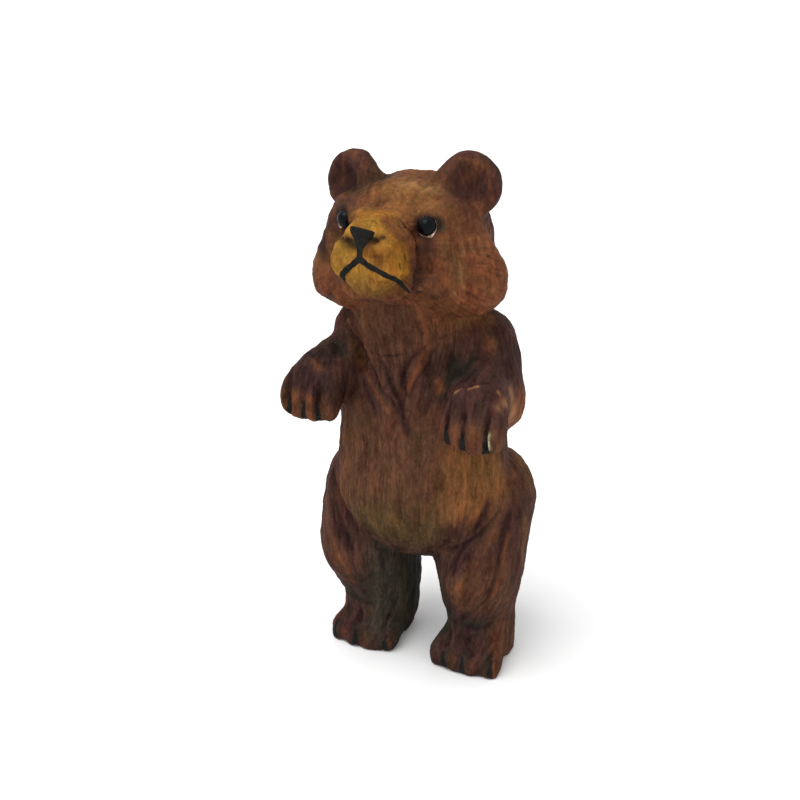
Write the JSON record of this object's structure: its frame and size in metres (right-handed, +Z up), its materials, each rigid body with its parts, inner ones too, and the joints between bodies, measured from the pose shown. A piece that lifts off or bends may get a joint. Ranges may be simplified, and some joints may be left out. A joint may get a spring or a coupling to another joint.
{
  "type": "carved wooden bear figurine",
  "caption": "Hand-carved wooden bear standing upright on its hind legs, with bead eyes, a painted nose and mouth, and flat soles that it rests on.",
  "frame": {"origin": "on the surface that the bear stands on, under the middle of the figure's box", "axes": "+Z up, the bear faces -Y, its left side is +X"},
  "size_m": [0.0398, 0.0386, 0.0899],
  "materials": {
    "stained_wood": "hand-carved wood, brown stain rubbed into the cuts, satin",
    "bead": "polished black bead",
    "glue": "pale dried glue",
    "black_paint": "matt black paint"
  },
  "bodies": {
    "root": {"carved_body": "stained_wood", "eye_left": "bead", "eye_right": "bead", "eye_glue_left": "glue", "eye_glue_right": "glue", "nose_paint": "black_paint", "mouth_paint": "black_paint", "claws_fore_left": "black_paint", "claws_fore_right": "black_paint", "claws_hind_left": "black_paint", "claws_hind_right": "black_paint"}
  },
  "joints": []
}
